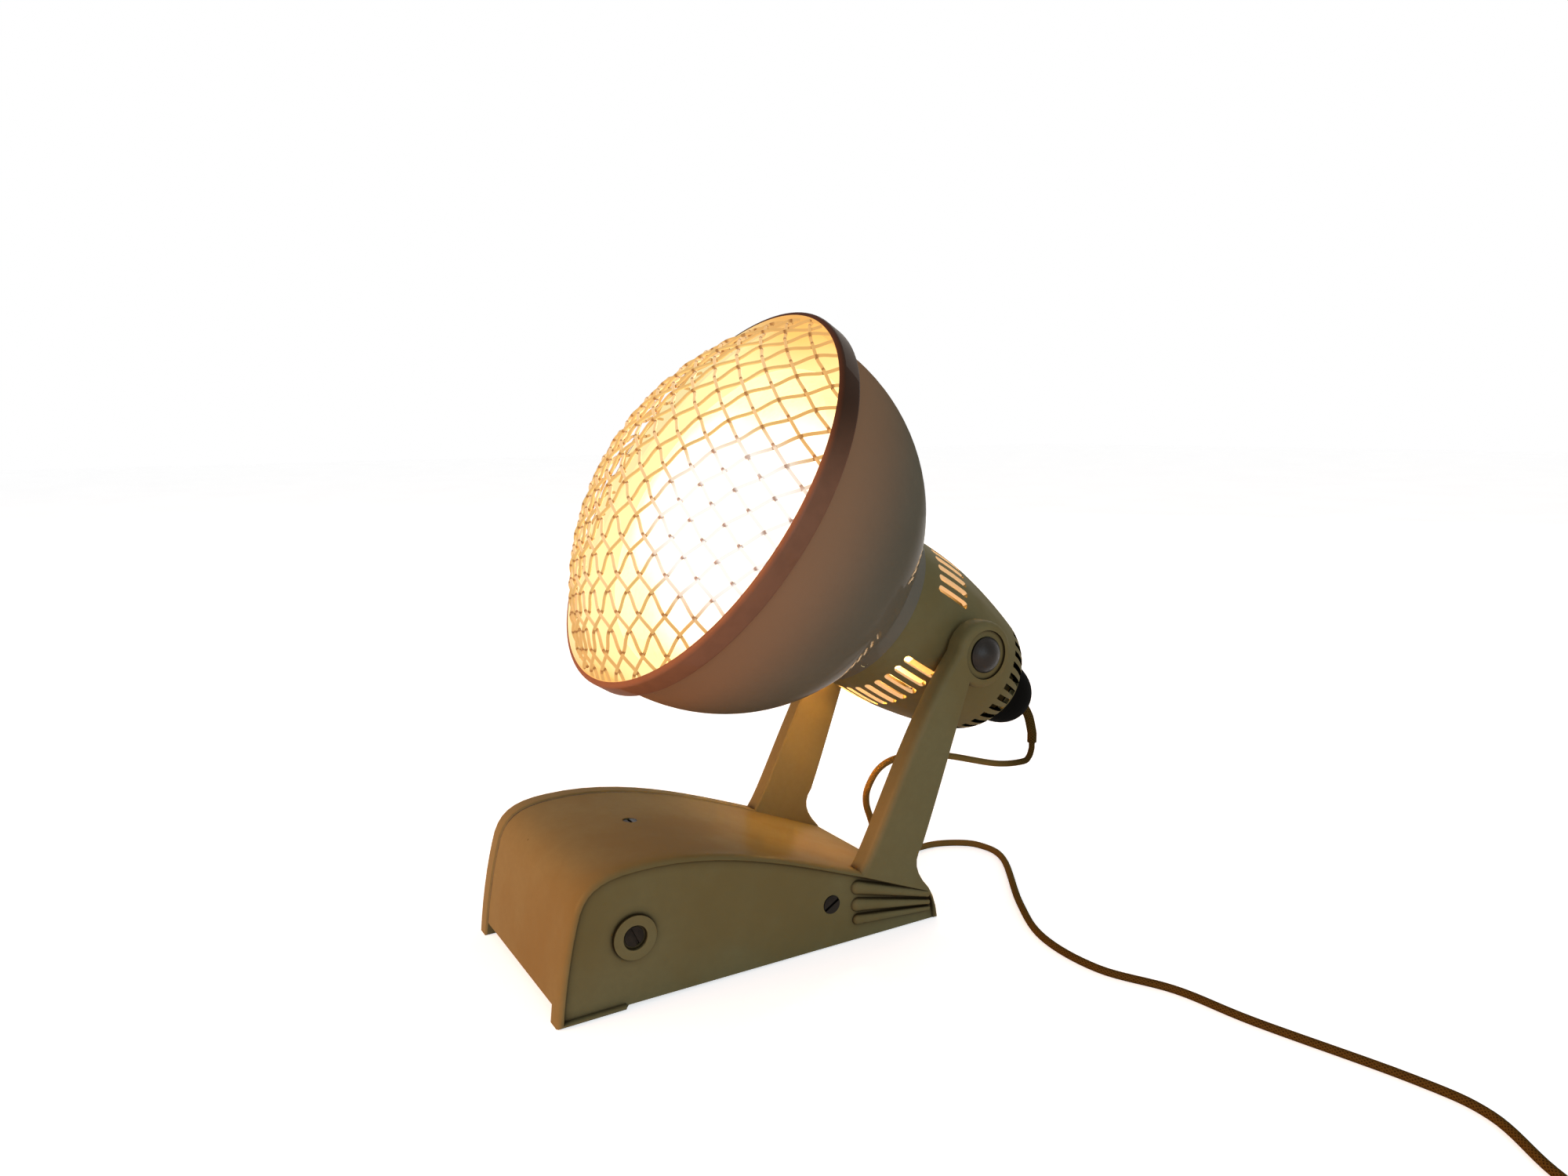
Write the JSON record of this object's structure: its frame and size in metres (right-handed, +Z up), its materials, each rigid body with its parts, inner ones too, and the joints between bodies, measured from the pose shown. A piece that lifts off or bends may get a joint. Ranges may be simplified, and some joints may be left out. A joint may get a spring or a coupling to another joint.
{
  "type": "table infrared heat lamp",
  "caption": "Table-top infrared heat lamp: moulded base with two arms carrying a tilting reflector head with a vented neck and a domed woven wire guard, on a textile cord.",
  "frame": {"origin": "on the table under the middle of the lamp's length and width, the cord left out", "axes": "+Z up, the lamp faces -Y and its rear is +Y, +X to the right as seen from the front camera; the tilt axis is along X"},
  "size_m": [0.4504, 0.2457, 0.2316],
  "materials": {
    "cream_moulding": "glossy cream moulding, slightly yellowed",
    "ballast": "raw casting",
    "steel": "plain turned steel",
    "dark_screw": "tarnished slotted screws",
    "dull_steel": "dull pressed steel",
    "fibre": "vulcanised fibre",
    "enamel": "cream enamel on spun sheet",
    "bezel": "dark copper brown, rolled edge",
    "guard_wire": "bronzed steel wire",
    "ceramic": "glazed white ceramic",
    "brass": "plain brass",
    "bulb_glass": "reflector bulb glass, frosted front",
    "lead": "insulated flex",
    "black_moulding": "black moulding",
    "textile_cord": "tan braided cord",
    "brown_moulding": "dark brown moulding"
  },
  "bodies": {
    "base": {"cheek_left": "cream_moulding", "cheek_right": "cream_moulding", "base_shell": "cream_moulding", "ballast_block": "ballast", "tie_rod_front": "steel", "tie_rod_rear": "steel", "front_screw_left": "dark_screw", "front_screw_right": "dark_screw", "rear_screw_left": "dark_screw", "rear_screw_right": "dark_screw", "top_screw": "dark_screw", "pivot_bolt_left": "steel", "pivot_bolt_right": "steel", "pivot_cap_left": "dull_steel", "pivot_cap_right": "dull_steel", "friction_washer_left": "fibre", "friction_washer_right": "fibre", "spring_washer_left": "steel", "spring_washer_right": "steel", "pivot_nut_left": "steel", "pivot_nut_right": "steel", "cord_run": "textile_cord", "cord_coil": "textile_cord", "plug_body": "brown_moulding", "plug_pin_a": "brass", "plug_pin_b": "brass"},
    "head": {"shade": "enamel", "bezel_ring": "bezel", "guard_warp": "guard_wire", "guard_weft": "guard_wire", "neck_housing": "cream_moulding", "collar_rivets": "enamel", "holder_body": "ceramic", "holder_sleeve": "brass", "holder_contact": "brass", "holder_plate": "steel", "holder_screws": "steel", "bulb_glass": "bulb_glass", "bulb_cap": "brass", "bulb_tip": "brass", "lead_live": "lead", "lead_neutral": "lead", "cable_gland": "black_moulding", "gland_nut": "steel", "cord_sleeve": "textile_cord"}
  },
  "joints": [
    {"name": "head_tilt", "type": "hinge", "parent": "base", "child": "head", "pos_m": [0, 0.05869, 0.1018], "axis": [-1, 0, 0], "range_deg": [-18, 57], "deforming": ["cord_run"]}
  ]
}
